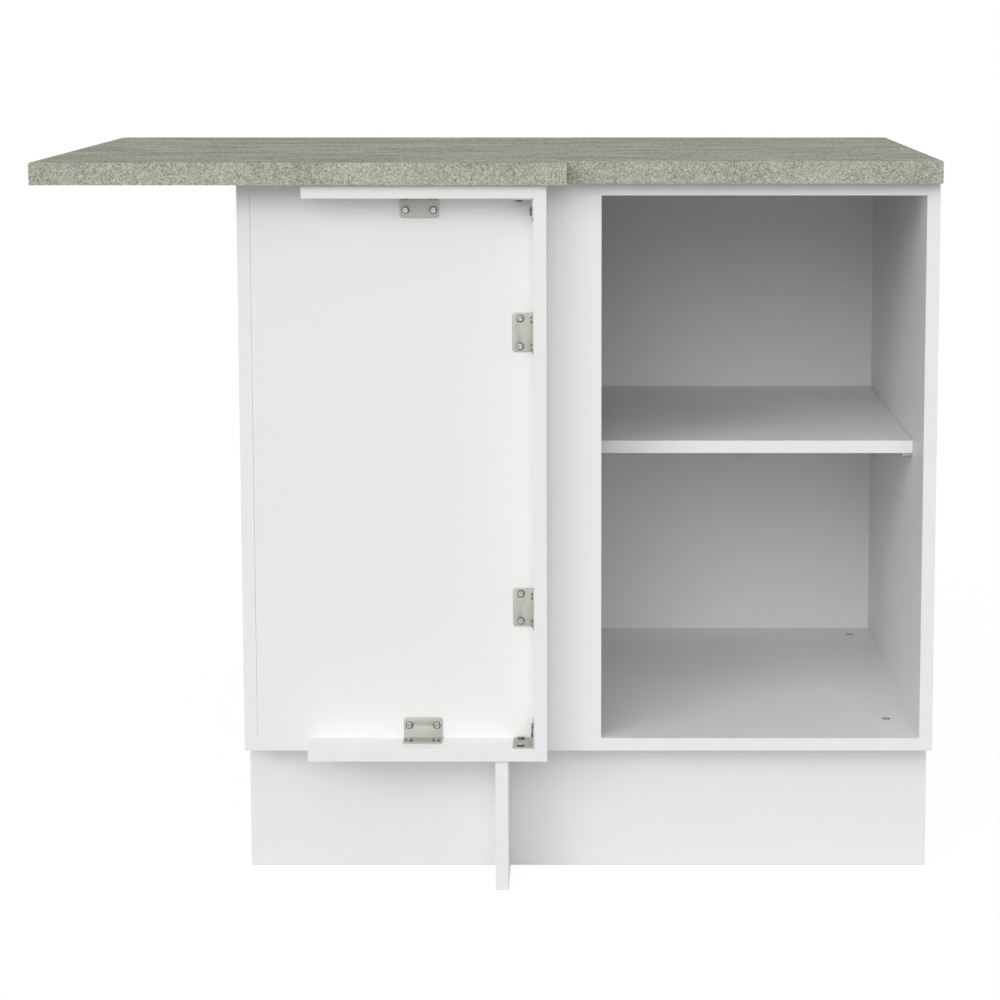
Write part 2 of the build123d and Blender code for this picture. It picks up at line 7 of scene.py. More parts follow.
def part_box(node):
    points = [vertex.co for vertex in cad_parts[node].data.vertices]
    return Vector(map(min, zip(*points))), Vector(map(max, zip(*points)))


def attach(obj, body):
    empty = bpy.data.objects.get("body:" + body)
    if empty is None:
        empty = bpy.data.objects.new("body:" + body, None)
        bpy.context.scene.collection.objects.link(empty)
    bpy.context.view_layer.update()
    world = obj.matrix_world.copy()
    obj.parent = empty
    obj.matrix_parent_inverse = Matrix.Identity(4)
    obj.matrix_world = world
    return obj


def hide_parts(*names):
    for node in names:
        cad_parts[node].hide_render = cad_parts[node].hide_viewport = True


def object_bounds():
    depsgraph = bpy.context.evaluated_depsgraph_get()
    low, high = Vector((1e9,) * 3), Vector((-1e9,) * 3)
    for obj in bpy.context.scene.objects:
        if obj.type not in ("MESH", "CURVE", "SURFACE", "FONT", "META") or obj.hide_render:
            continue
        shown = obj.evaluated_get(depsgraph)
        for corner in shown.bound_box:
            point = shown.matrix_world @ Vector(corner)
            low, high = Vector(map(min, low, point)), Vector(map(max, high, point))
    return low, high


# A corner base cabinet in white coated board, with a stone-look worktop, on a plain white floor.
# Metres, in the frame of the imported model: floor at z = 0, front towards -y.

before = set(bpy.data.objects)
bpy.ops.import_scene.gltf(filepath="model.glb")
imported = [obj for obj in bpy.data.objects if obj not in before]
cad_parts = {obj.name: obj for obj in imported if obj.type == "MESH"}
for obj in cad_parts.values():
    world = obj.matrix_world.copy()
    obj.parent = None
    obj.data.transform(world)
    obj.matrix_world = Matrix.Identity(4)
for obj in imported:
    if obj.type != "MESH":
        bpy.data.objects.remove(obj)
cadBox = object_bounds()
mm = 0.001
touch = 0.01 * mm         # how near a plane or an edge counts as on it
weld = 0.001 * mm         # how near two points count as one
print("frame loaded:", len(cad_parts), "nodes")


# Camera: near the photo's place. The photo is level with a large shift, which would leave half of
# the object out of every other view, so this one looks down a little and shifts less
camera = {
    "place": (0.1063, -3.3443, 1.0035),
    "down": 7.03,         # degrees below level
    "lens": 97.835,
    "sensor": 36.0,
    "shift": (-0.0834, -0.15),
    "near": 0.01,
    "far": 100,
}
bpy.ops.object.select_all(action="DESELECT")
bpy.ops.object.camera_add(location=camera["place"], rotation=(radians(90 - camera["down"]), 0, 0))
cameraObject = bpy.context.object
cameraObject.data.lens = camera["lens"]
cameraObject.data.sensor_width = camera["sensor"]
cameraObject.data.shift_x, cameraObject.data.shift_y = camera["shift"]
cameraObject.data.clip_start = camera["near"]
cameraObject.data.clip_end = camera["far"]
bpy.context.scene.camera = cameraObject
bpy.context.scene.view_settings.view_transform = "Standard"
print("camera set")


# Shader maths: a Wire is one output of a node, and an expression on it adds Math nodes
class Wire:
    def __init__(self, tree, socket):
        self.tree = tree
        self.socket = socket

    def maths(self, operation, first, second):
        made = self.tree.nodes.new("ShaderNodeMath")
        made.operation = operation
        for entry, value in zip(made.inputs, (first, second)):
            plug(self.tree, entry, value)
        return Wire(self.tree, made.outputs[0])

    def __add__(self, other):
        return self.maths("ADD", self, other)

    def __radd__(self, other):
        return self.maths("ADD", other, self)

    def __sub__(self, other):
        return self.maths("SUBTRACT", self, other)

    def __rsub__(self, other):
        return self.maths("SUBTRACT", other, self)

    def __mul__(self, other):
        return self.maths("MULTIPLY", self, other)

    def __rmul__(self, other):
        return self.maths("MULTIPLY", other, self)

    def __gt__(self, other):
        return self.maths("GREATER_THAN", self, other)

    def __lt__(self, other):
        return self.maths("LESS_THAN", self, other)

    def __or__(self, other):
        return self.maths("MAXIMUM", self, other)


def plug(tree, entry, value):  # a Wire is linked, anything else is the socket's own value
    if isinstance(value, Wire):
        tree.links.new(value.socket, entry)
    else:
        entry.default_value = value


class Nodes:  # a node tree, and the one way to add a node to it
    def __init__(self, tree):
        self.tree = tree

    def node(self, kind, settings=None, inputs=None, output=0):
        made = self.tree.nodes.new(kind)
        for name, value in (settings or {}).items():
            if name == "stops":
                stops = made.color_ramp.elements
                while len(stops) < len(value):
                    stops.new(0.5)
                for stop, (place, colour) in zip(stops, value):
                    stop.position = place
                    stop.color = (*colour, 1)
            else:
                setattr(made, name, value)
        for name, value in (inputs or {}).items():
            plug(self.tree, made.inputs[name], value)
        return Wire(self.tree, made.outputs[output])


class Finish(Nodes):  # one material
    def __init__(self, name, **shaderValues):
        self.material = bpy.data.materials.new(name)
        self.material.use_nodes = True
        super().__init__(self.material.node_tree)
        self.shader = self.tree.nodes["Principled BSDF"]
        self.feed(**shaderValues)

    def feed(self, **values):  # sockets of the shader, spaces in their names written as underscores
        for name, value in values.items():
            plug(self.tree, self.shader.inputs[name.replace("_", " ")], value)

    def place(self):
        return self.node("ShaderNodeTexCoord", output="Object")

    def axes(self, vector):  # its x, y and z
        split = self.node("ShaderNodeSeparateXYZ", inputs={"Vector": vector})
        return [Wire(self.tree, split.socket.node.outputs[axis]) for axis in "XYZ"]

    def normal(self):
        return self.axes(self.node("ShaderNodeTexCoord", output="Normal"))

    def noise(self, scale, detail=2.0, roughness=0.5, stretch=(1, 1, 1), start=(0, 0, 0)):  # around 0.5
        vector = self.node("ShaderNodeMapping",
                           inputs={"Vector": self.place(), "Location": start, "Scale": stretch})
        return self.node("ShaderNodeTexNoise", inputs={
            "Vector": vector, "Scale": scale, "Detail": detail, "Roughness": roughness})

    def blend(self, factor, first, second, way="MIX"):  # of two colours, the first where the factor is 0
        return self.node("ShaderNodeMix", {"data_type": "RGBA", "blend_type": way},
                         {0: factor, 6: first, 7: second}, output=2)    # its sockets for colours

    def colour(self, red, green, blue):
        return self.node("ShaderNodeCombineColor", inputs={"Red": red, "Green": green, "Blue": blue})

    def ramp(self, value, *stops):
        return self.node("ShaderNodeValToRGB", {"stops": stops}, {"Fac": value})

    def bump(self, height, depth, strength):
        return self.node("ShaderNodeBump",
                         inputs={"Height": height, "Distance": depth, "Strength": strength})


def paint(finish, *nodes):  # gives CAD nodes a finish
    for name in nodes:
        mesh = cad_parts[name].data
        mesh.materials.clear()
        mesh.materials.append(finish.material)


def grey(value):
    return (value, value, value, 1)


# Raw chipboard, where an edge has no band
chipboard = {
    "light": (0.50, 0.37, 0.23, 1),
    "dark": (0.27, 0.17, 0.09, 1),
    "chipScale": 420,
    "chipShare": 0.7,
    "grainScale": 900,
    "grainShare": 0.3,
    "edgeDepth": 0.2 * mm,        # how far behind an edge's face its raw colour reaches
}
facing = 0.9                      # a face looks along an axis if its normal has at least this much of it


def rawBoard(finish):
    chips = finish.node("ShaderNodeTexVoronoi", {"voronoi_dimensions": "3D"},
                        {"Vector": finish.place(), "Scale": chipboard["chipScale"]}, output="Color")
    chip = finish.axes(chips)[0]
    grain = finish.noise(chipboard["grainScale"])
    mixed = chip * chipboard["chipShare"] + grain * chipboard["grainShare"]
    return finish.blend(mixed, chipboard["dark"], chipboard["light"])


# White coated board: a faint pearl in the coating and a hairline beside the band on each front edge
coating = {
    "colour": 0.92,
    "blueShare": 0.997,           # of the red and the green, so that the white is a little warm
    "cloudScale": 3.0,
    "toneChange": 0.006,
    "roughness": 0.42,
    "roughChange": 0.12,
    "rawRougher": 0.4,
    "specular": 0.25,
    "pearlScale": 1100,
    "pearlDepth": 0.02 * mm,
    "pearlStrength": 0.5,
    "bandThickness": 0.45 * mm,
    "bandGlue": 0.12 * mm,
    "bandGlueDark": 0.10,
}


def coatedBoard(name, frontOf, rawWhere=None):
    finish = Finish(name, Specular_IOR_Level=coating["specular"])
    cloud = finish.noise(coating["cloudScale"])
    y, z = finish.axes(finish.place())[1:]
    bandSeam = y - (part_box(frontOf)[0].y + coating["bandThickness"])
    seam = (bandSeam > 0) * (bandSeam < coating["bandGlue"]) * coating["bandGlueDark"]
    tone = coating["colour"] + (cloud - 0.5) * coating["toneChange"] - seam
    colour = finish.colour(tone, tone, tone * coating["blueShare"])
    pearl = finish.noise(coating["pearlScale"])
    roughness = coating["roughness"] + (pearl - 0.5) * coating["roughChange"]
    if rawWhere:
        raw = rawWhere(finish, y, z)
        colour = finish.blend(raw, colour, rawBoard(finish))
        roughness = roughness + raw * coating["rawRougher"]
    finish.feed(Base_Color=colour, Roughness=roughness,
                Normal=finish.bump(pearl, coating["pearlDepth"], coating["pearlStrength"]))
    return finish


def rearEdges(node):  # the edges that look to the wall
    def where(finish, y, z):
        return (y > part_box(node)[1].y - chipboard["edgeDepth"]) * (finish.normal()[1] > facing)
    return where


def soleOnly(finish, y, z):  # the sawn edge that stands on the floor
    return z < chipboard["edgeDepth"]


paint(coatedBoard("carcassBoard", "left_side", rearEdges("left_side")),
      "left_side", "right_side", "bottom_panel", "blind_panel", "front_top_rail", "rear_top_rail")
paint(coatedBoard("shelfBoard", "shelf", rearEdges("shelf")), "shelf")
paint(coatedBoard("plinthBoard", "plinth_front", soleOnly),
      "plinth_front", "plinth_back", "plinth_cross_left", "plinth_cross_middle", "plinth_cross_right")
paint(coatedBoard("footBoard", "support_foot", soleOnly), "support_foot")
paint(coatedBoard("spacerBoard", "frame_stile"), "frame_top_rail", "frame_bottom_rail", "frame_stile")
print("boards painted")


# Back sheet: thin hardboard, white inside and brown outside
hardboard = {
    "light": (0.36, 0.235, 0.135, 1),
    "dark": (0.25, 0.155, 0.085, 1),
    "fibreScale": 260,
    "fibreStretch": (1, 1, 0.35),
    "fibreShare": 0.75,
    "fibreDepth": 0.05 * mm,
    "fibreStrength": 0.4,
    "cloudScale": 9.0,
    "cloudShare": 0.25,
    "roughness": 0.62,
    "insideSmoother": 0.15,
}


def backHardboard():
    finish = Finish("backHardboard", Specular_IOR_Level=coating["specular"])
    fibre = finish.noise(hardboard["fibreScale"], detail=6.0, roughness=0.6,
                         stretch=hardboard["fibreStretch"])
    cloud = finish.noise(hardboard["cloudScale"], detail=3.0)
    mixed = fibre * hardboard["fibreShare"] + cloud * hardboard["cloudShare"]
    brown = finish.blend(mixed, hardboard["dark"], hardboard["light"])
    inside = finish.normal()[1] < -facing
    finish.feed(Base_Color=finish.blend(inside, brown, grey(coating["colour"])),
                Roughness=hardboard["roughness"] - inside * hardboard["insideSmoother"],
                Normal=finish.bump(fibre, hardboard["fibreDepth"], hardboard["fibreStrength"]))
    return finish


paint(backHardboard(), "back_sheet")


# Worktop laminate: a grey-green stone look, granular up close, with soft clouds and long faint streaks
stone = {
    "deep": (0.185, 0.201, 0.156),
    "middle": (0.445, 0.461, 0.376),
    "pale": (0.71, 0.72, 0.61),
    "tonePlaces": (0.32, 0.50, 0.70),          # of the deep, middle and pale tones
    "topPaintedShade": (0.745, 0.769, 0.722, 1),       # painted shade: the top is darkened against the bands of the edges
    "backing": (0.44, 0.41, 0.36, 1),
    "grainScale": 640,
    "grainShare": 1.05,
    "grainDepth": 0.05 * mm,
    "grainStrength": 0.35,
    "blotchScale": 60,
    "blotchShare": 0.16,
    "streakScale": 10,
    "streakStretch": (1.0, 3.4, 1.0),
    "streakShare": 0.60,
    "frontStreak": 0.36,                       # the streaks are weaker on the front band
    "fleckScale": 230,
    "fleckShare": 1.0,                         # on the top alone
    "roughness": 0.66,
    "roughChange": 0.1,
    "specular": 0.12,
}


def stoneLaminate(name, start):  # each piece is cut from another part of the sheet
    finish = Finish(name, Specular_IOR_Level=stone["specular"])
    grain = finish.noise(stone["grainScale"], detail=3.0, roughness=0.7, start=start)
    blotch = finish.noise(stone["blotchScale"], detail=4.0, roughness=0.6, start=start)
    streak = finish.noise(stone["streakScale"], detail=6.0, roughness=0.66, stretch=stone["streakStretch"],
                          start=start)
    fleck = finish.noise(stone["fleckScale"], detail=3.0, roughness=0.6, start=start)
    normals = finish.normal()
    onTop = normals[2] > facing
    streakShare = stone["streakShare"] * (stone["frontStreak"] + onTop * (1 - stone["frontStreak"]))
    shares = stone["grainShare"], stone["blotchShare"], streakShare, onTop * stone["fleckShare"]
    mixed = 0.5 + sum((part - 0.5) * share for part, share in zip((grain, blotch, streak, fleck), shares))
    tones = stone["deep"], stone["middle"], stone["pale"]
    colour = finish.ramp(mixed, *zip(stone["tonePlaces"], tones))
    # painted shade: the top is darkened against the edge bands
    laid = finish.blend(onTop, colour, stone["topPaintedShade"], way="MULTIPLY")
    laid = finish.blend(normals[2] < -facing, laid, stone["backing"])
    raw = normals[1] > facing
    finish.feed(Base_Color=finish.blend(raw, laid, rawBoard(finish)),
                Roughness=stone["roughness"] + (blotch - 0.5) * stone["roughChange"],
                Normal=finish.bump(grain, stone["grainDepth"], stone["grainStrength"]))
    return finish


paint(stoneLaminate("stoneLeft", (0, 0, 0)), "worktop_left")
paint(stoneLaminate("stoneRight", (3.1, 1.7, 0.6)), "worktop_right")
print("worktop painted")


# Metals
metals = {
    "plateColour": (0.49, 0.495, 0.45),
    "plateRough": 0.68,
    "screwColour": (0.53, 0.53, 0.50),
    "screwRough": 0.30,
    "nickelColour": (0.46, 0.46, 0.45),
    "nickelRough": 0.38,
    "rimPaintedShade": 0.16,                  # painted shade of a head's rim, against its top
    "cloudScale": 350,
    "toneLeast": 0.9,
    "toneChange": 0.2,
    "scratchScale": 1050,
    "scratchStretch": (1, 0.08, 1),
    "scratchDepth": 0.01 * mm,
    "scratchStrength": 0.3,
    "roughChange": 0.12,
}


def plated(name, colour, rough, headLightPainted=False):
    finish = Finish(name, Metallic=1.0)
    cloud = finish.noise(metals["cloudScale"], detail=4.0, roughness=0.6)
    scratch = finish.noise(metals["scratchScale"], stretch=metals["scratchStretch"])
    tone = metals["toneLeast"] + cloud * metals["toneChange"]
    # painted shade on the screw heads: the rim darkened, most at its left and right, and the recess a little
    if headLightPainted:
        shine = finish.node("ShaderNodeAttribute", {"attribute_name": "shine"}, output="Fac")
        tone = tone * (metals["rimPaintedShade"] + shine * (1 - metals["rimPaintedShade"]))
    finish.feed(Base_Color=finish.colour(*[tone * part for part in colour]),
                Roughness=rough + (scratch - 0.5) * metals["roughChange"],
                Normal=finish.bump(scratch, metals["scratchDepth"], metals["scratchStrength"]))
    return finish


plateZinc = plated("plateZinc", metals["plateColour"], metals["plateRough"])
# screws with painted shade on their heads' rims and recesses
screwZinc = plated("screwZinc", metals["screwColour"], metals["screwRough"], headLightPainted=True)
pegNickel = plated("pegNickel", metals["nickelColour"], metals["nickelRough"])
paint(plateZinc, "cam_bolts", "cam_locks")


# Modelling by hand: what every hardware piece below uses
sharp = radians(35)       # an edge that turns by more is eased or shaded as an edge


def setAside():  # everything is deselected before a piece is begun or worked on
    if bpy.context.mode == "EDIT_MESH":
        bpy.ops.object.mode_set(mode="OBJECT")
    bpy.ops.object.select_all(action="DESELECT")


def begun(name):  # the primitive just added, open for editing with nothing selected
    piece = bpy.context.object
    piece.name = name
    bpy.ops.object.transform_apply(location=True, rotation=True, scale=True)
    bpy.ops.object.mode_set(mode="EDIT")
    bpy.ops.mesh.select_all(action="DESELECT")
    return piece


def pick(piece, mode, wanted):  # selects the vertices, edges or faces whose middle is wanted
    bpy.ops.mesh.select_mode(type=mode)
    bpy.ops.mesh.select_all(action="DESELECT")
    mesh = bmesh.from_edit_mesh(piece.data)
    parts = {"VERT": mesh.verts, "EDGE": mesh.edges, "FACE": mesh.faces}[mode]
    for part in parts:
        if mode == "VERT":
            middle = part.co
        elif mode == "EDGE":
            middle = (part.verts[0].co + part.verts[1].co) / 2
        else:
            middle = part.calc_center_median()
        if wanted(middle):
            part.select = True
    mesh.select_flush_mode()
    bmesh.update_edit_mesh(piece.data)


def pull(offset, scale=1.0):  # extrudes what is selected, then narrows it
    bpy.ops.mesh.extrude_region_move(TRANSFORM_OT_translate={"value": offset})
    if scale != 1.0:
        bpy.ops.transform.resize(value=(scale, scale, 1))


def cutAway(piece, cutter):
    setAside()
    bpy.context.view_layer.objects.active = piece
    cut = piece.modifiers.new("cut", "BOOLEAN")
    cut.object = cutter
    cut.operation = "DIFFERENCE"
    cut.solver = "EXACT"
    cut.use_self = True
    bpy.ops.object.modifier_apply(modifier=cut.name)
    bpy.data.objects.remove(cutter)


def smoothed(piece):
    setAside()
    piece.select_set(True)
    bpy.context.view_layer.objects.active = piece
    bpy.ops.object.shade_smooth_by_angle(angle=sharp)


def eased(piece, width):  # small rounding of the sharp edges, and smooth shading
    setAside()
    bpy.context.view_layer.objects.active = piece
    ease = piece.modifiers.new("ease", "BEVEL")
    ease.width = width
    ease.segments = 2
    ease.limit_method = "ANGLE"
    ease.angle_limit = sharp
    bpy.ops.object.modifier_apply(modifier=ease.name)
    smoothed(piece)


def repeated(model, seats, keep=False):  # one piece, of a copy at each seat. The model goes unless kept
    setAside()
    copies = []
    for seat in seats:
        placed = bpy.data.objects.new(model.name, model.data.copy())
        bpy.context.scene.collection.objects.link(placed)
        placed.data.transform(seat)
        placed.select_set(True)
        copies.append(placed)
    bpy.context.view_layer.objects.active = copies[0]
    if len(copies) > 1:
        bpy.ops.object.join()
    if not keep:
        bpy.data.objects.remove(model)
    return copies[0]


def setOut(model, name, seats, finish, node, keep=False):  # a model's copies, as a finished piece
    piece = repeated(model, seats, keep)
    piece.name = name
    piece.data.materials.clear()
    piece.data.materials.append(finish.material)
    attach(piece, "root")
    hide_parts(node)


def seatAt(point, outwards, across):  # local z points outwards, local x across
    turn = Matrix((across, outwards.cross(across), outwards)).transposed().to_4x4()
    return Matrix.Translation(point) @ turn


left, right, forward, backward, down, up = (
    Vector(way) for way in ((-1, 0, 0), (1, 0, 0), (0, -1, 0), (0, 1, 0), (0, 0, -1), (0, 0, 1)))


def solidsOf(name):  # the lowest and highest corner of each separate solid in a node
    mesh = bmesh.new()
    mesh.from_mesh(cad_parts[name].data)
    bmesh.ops.remove_doubles(mesh, verts=mesh.verts, dist=weld)
    waiting = set(mesh.verts)
    boxes = []
    while waiting:
        reached = [waiting.pop()]
        for vert in reached:
            for edge in vert.link_edges:
                other = edge.other_vert(vert)
                if other in waiting:
                    waiting.discard(other)
                    reached.append(other)
        low = Vector([min(vert.co[axis] for vert in reached) for axis in range(3)])
        high = Vector([max(vert.co[axis] for vert in reached) for axis in range(3)])
        boxes.append((low, high))
    mesh.free()
    return sorted(boxes, key=lambda box: tuple(round(value, 4) for value in box[0]))   # to 0.1 mm


def headSeats(name, way, sunk=0.0):  # on top of each head of a node, or sunk below that
    seats = []
    for low, high in solidsOf(name):
        top = (low + high) / 2
        for axis in range(3):
            if way[axis]:
                top[axis] = high[axis] if way[axis] > 0 else low[axis]
        seats.append(seatAt(top - way * sunk, way, right))
    return seats


# Screws: a pan head or a flat one with a cross recess, a plain shank and a point
screw = {
    "sides": 32,
    "point": 4.0 * mm,
    "pointTaper": 0.12,
    "recessReach": 2.5 * mm,
    "recessWidth": 0.95 * mm,
    "recessDepth": 1.7 * mm,
    "recessTaper": (0.45, 0.7, 1),    # of the cutter's lower end, along and across a wing
    "panRadius": 4.1 * mm,
    "panHeight": 2.4 * mm,
    "panRound": 1.5 * mm,
    "panProfile": 0.55,
    "panSteps": 5,
    "flatRadius": 5.0 * mm,
    "flatRim": 0.2 * mm,
    "flatShank": 2.5 * mm,
    "flatLength": 50.0 * mm,
    "footLength": 40.0 * mm,
    "worktopRadius": 2.0 * mm,
    "worktopLength": 30.0 * mm,
    "edge": 0.12 * mm,
    "drivenTurn": 4.0,                # degrees between the five angles that the crosses stop at
}
paintedHeadLightOf = {  # how bright a head is painted, from 0 to 1: its flat is 1, its rim and recess carry painted shade
    "flatReach": 0.6,                 # share of the head's radius that is its flat
    "rimFade": 0.2,                   # share of the radius over which the flat fades into the rim
    "rimAbove": 0.45,                 # the rim above and below, darkened by painted shade. At its left and right it is 0
    # the recess, a little darkened by painted shade
    "recess": 0.75,
    "recessFrom": 0.3 * mm,           # how far below the flat the recess begins
}


def crossCutter(top):  # two tapered wings, crossing
    setAside()
    bpy.ops.mesh.primitive_cube_add(size=1, location=(0, 0, 0))
    bpy.context.object.scale = (2 * screw["recessReach"], screw["recessWidth"], 2 * screw["recessDepth"])
    wing = begun("wing")
    pick(wing, "FACE", lambda middle: middle.z < -touch)
    bpy.ops.transform.resize(value=screw["recessTaper"])
    atTop = Matrix.Translation((0, 0, top))
    return repeated(wing, [atTop, atTop @ Matrix.Rotation(pi / 2, 4, "Z")])


def shank(length):  # down from what is selected, and then to the point
    pull((0, 0, screw["point"] - length))
    pull((0, 0, -screw["point"]), screw["pointTaper"])


# paints shade into a head: the rim dark, most at its left and right, and the recess a little darker
def paintHeadLight(piece, top, radius):
    shine = piece.data.attributes.new("shine", "FLOAT", "POINT")
    for vert in piece.data.vertices:
        away = vert.co.xy.length / radius
        sides = vert.co.x ** 2 / max(vert.co.xy.length_squared, weld ** 2)      # 1 at the left and right
        rim = min(1, max(0, (away - paintedHeadLightOf["flatReach"]) / paintedHeadLightOf["rimFade"]))
        dull = 1 - paintedHeadLightOf["rimAbove"] + paintedHeadLightOf["rimAbove"] * sides
        inRecess = vert.co.z < top - paintedHeadLightOf["recessFrom"] and away < paintedHeadLightOf["flatReach"]
        shine.data[vert.index].value = paintedHeadLightOf["recess"] if inRecess else 1 - rim * dull


def panScrew(radius, length):  # head on z = 0
    setAside()
    bpy.ops.mesh.primitive_cylinder_add(vertices=screw["sides"], radius=screw["panRadius"],
                                        depth=screw["panHeight"], location=(0, 0, screw["panHeight"] / 2))
    piece = begun("panScrew")
    pick(piece, "FACE", lambda middle: middle.z > screw["panHeight"] - touch)
    bpy.ops.mesh.bevel(offset=screw["panRound"], segments=screw["panSteps"],
                       profile=screw["panProfile"], affect="EDGES")
    pick(piece, "FACE", lambda middle: middle.z < touch)
    pull((0, 0, 0), radius / screw["panRadius"])
    shank(length)
    cutAway(piece, crossCutter(screw["panHeight"]))
    eased(piece, screw["edge"])
    paintHeadLight(piece, screw["panHeight"], screw["panRadius"])
    return piece


def flatScrew(length):  # head flush with z = 0
    setAside()
    neck = screw["flatRadius"] - screw["flatShank"]      # depth of the head, so it slopes at about 45 degrees
    bpy.ops.mesh.primitive_cylinder_add(vertices=screw["sides"], radius=screw["flatRadius"],
                                        depth=screw["flatRim"], location=(0, 0, -screw["flatRim"] / 2))
    piece = begun("flatScrew")
    pick(piece, "FACE", lambda middle: middle.z < touch - screw["flatRim"])
    pull((0, 0, screw["flatRim"] - neck), screw["flatShank"] / screw["flatRadius"])
    shank(length - neck)
    cutAway(piece, crossCutter(0))
    eased(piece, screw["edge"])
    paintHeadLight(piece, 0, screw["flatRadius"])
    return piece


# Angle brackets: a bent zinc strip with rounded corners, drawn with one leg on z = 0 and one on y = 0
bracket = {
    "leg": 25.0 * mm,
    "width": 45.0 * mm,
    "thickness": 1.5 * mm,
    "outerBend": 2.5 * mm,
    "bendSteps": 6,
    "corner": 3.5 * mm,
    "cornerSteps": 6,
    "holeRadius": 2.1 * mm,
    "holeSides": 32,
    "holeSide": 6.5 * mm,
    "holeEnd": 9.0 * mm,
    "ease": 0.22 * mm,
    "screwRadius": 1.75 * mm,
    "screwLength": 14.0 * mm,
}
bracketWays = {  # the directions that the two legs' faces look to
    "bracket_top_rail": (forward, down),
    "bracket_bottom_rail": (forward, up),
    "bracket_stile_upper": (forward, left),
    "bracket_stile_lower": (forward, left),
    "bracket_corner_upper": (down, left),
    "bracket_corner_lower": (up, left),
}
holeOut = bracket["width"] / 2 - bracket["holeSide"]
holeUp = bracket["leg"] - bracket["holeEnd"]


def holeSeats(above):  # over the four holes, so far above the faces that lie on the boards
    seats = []
    for side in (-holeOut, holeOut):
        seats.append(Matrix.Translation((side, holeUp, above)))
        seats.append(Matrix.Translation((side, above, holeUp)) @ Matrix.Rotation(-pi / 2, 4, "X"))
    return seats


def facesInwards(piece):  # whether the leg on z = 0 looks up, to the open side
    flats = [face for face in piece.data.polygons if face.center.z < touch]
    return flats[0].normal.z > 0


def angleBracket():
    leg, bend = bracket["leg"], bracket["outerBend"]
    flat = leg - bend
    through = leg / 3     # long enough for a hole's cutter to pass the wall
    setAside()
    bpy.ops.mesh.primitive_plane_add(size=1, location=(0, bend + flat / 2, 0))
    bpy.context.object.scale = (bracket["width"], flat, 1)
    piece = begun("angleBracket")
    pick(piece, "EDGE", lambda middle: middle.y < bend + touch)
    bpy.ops.mesh.spin(steps=bracket["bendSteps"], angle=pi / 2, center=(0, bend, bend), axis=(1, 0, 0))
    pick(piece, "EDGE", lambda middle: middle.z > bend - touch)
    pull((0, 0, flat))
    pick(piece, "VERT", lambda point: max(point.y, point.z) > leg - touch)
    bpy.ops.mesh.bevel(offset=bracket["corner"], segments=bracket["cornerSteps"], affect="VERTICES")
    bpy.ops.mesh.select_all(action="SELECT")
    bpy.ops.mesh.remove_doubles(threshold=touch)
    bpy.ops.mesh.normals_make_consistent(inside=False)
    setAside()
    bpy.context.view_layer.objects.active = piece
    wall = piece.modifiers.new("wall", "SOLIDIFY")
    wall.thickness = bracket["thickness"]
    wall.offset = 1 if facesInwards(piece) else -1
    bpy.ops.object.modifier_apply(modifier=wall.name)
    setAside()
    bpy.ops.mesh.primitive_cylinder_add(vertices=bracket["holeSides"], radius=bracket["holeRadius"],
                                        depth=through, location=(0, 0, 0))
    cutAway(piece, repeated(bpy.context.object, holeSeats(0)))
    eased(piece, bracket["ease"])
    return piece


def bracketSeat(name):  # at the middle of the inner corner of its two boards
    low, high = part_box(name)
    first, second = bracketWays[name]
    point = []
    for axis in range(3):
        way = first[axis] + second[axis]
        point.append(low[axis] if way > 0 else high[axis] if way < 0 else (low[axis] + high[axis]) / 2)
    return seatAt(point, first, second.cross(first))


bracketModel = angleBracket()
bracketScrewSeats = []
for name in bracketWays:
    seat = bracketSeat(name)
    setOut(bracketModel, name.replace("bracket_", "plate_"), [seat],
           plateZinc, name, keep=True)
    for hole in holeSeats(bracket["thickness"]):
        driven = radians(screw["drivenTurn"] * (len(bracketScrewSeats) * 7 % 5 - 2))
        bracketScrewSeats.append(seat @ hole @ Matrix.Rotation(driven, 4, "Z"))
bpy.data.objects.remove(bracketModel)
setOut(panScrew(bracket["screwRadius"], bracket["screwLength"]), "bracketScrews", bracketScrewSeats,
       screwZinc, "bracket_screws")
print("brackets and their screws made")


# The other screws: up into the worktop, and flush ones between the boards
setOut(panScrew(screw["worktopRadius"], screw["worktopLength"]), "worktopScrews",
       headSeats("worktop_screws", down, screw["panHeight"]), screwZinc, "worktop_screws")
for name, node, way, length in (("sideScrews", "side_screws", down, screw["flatLength"]),
                                ("plinthScrews", "plinth_screws", up, screw["flatLength"]),
                                ("footScrews", "foot_screws", backward, screw["footLength"])):
    setOut(flatScrew(length), name, headSeats(node, way), screwZinc, node)
print("board screws made")


# Shelf pegs: a nickel pin with a flat for the shelf, and a thinner shank in the side
peg = {
    "sides": 40,
    "radius": 3.75 * mm,
    "length": 12.0 * mm,
    "round": 0.8 * mm,
    "roundSteps": 4,
    "flat": 0.25 * mm,
    "shankRadius": 2.5 * mm,
    "shankLength": 10.0 * mm,
    "shankTip": 0.5 * mm,
    "shankTaper": 0.8,
}


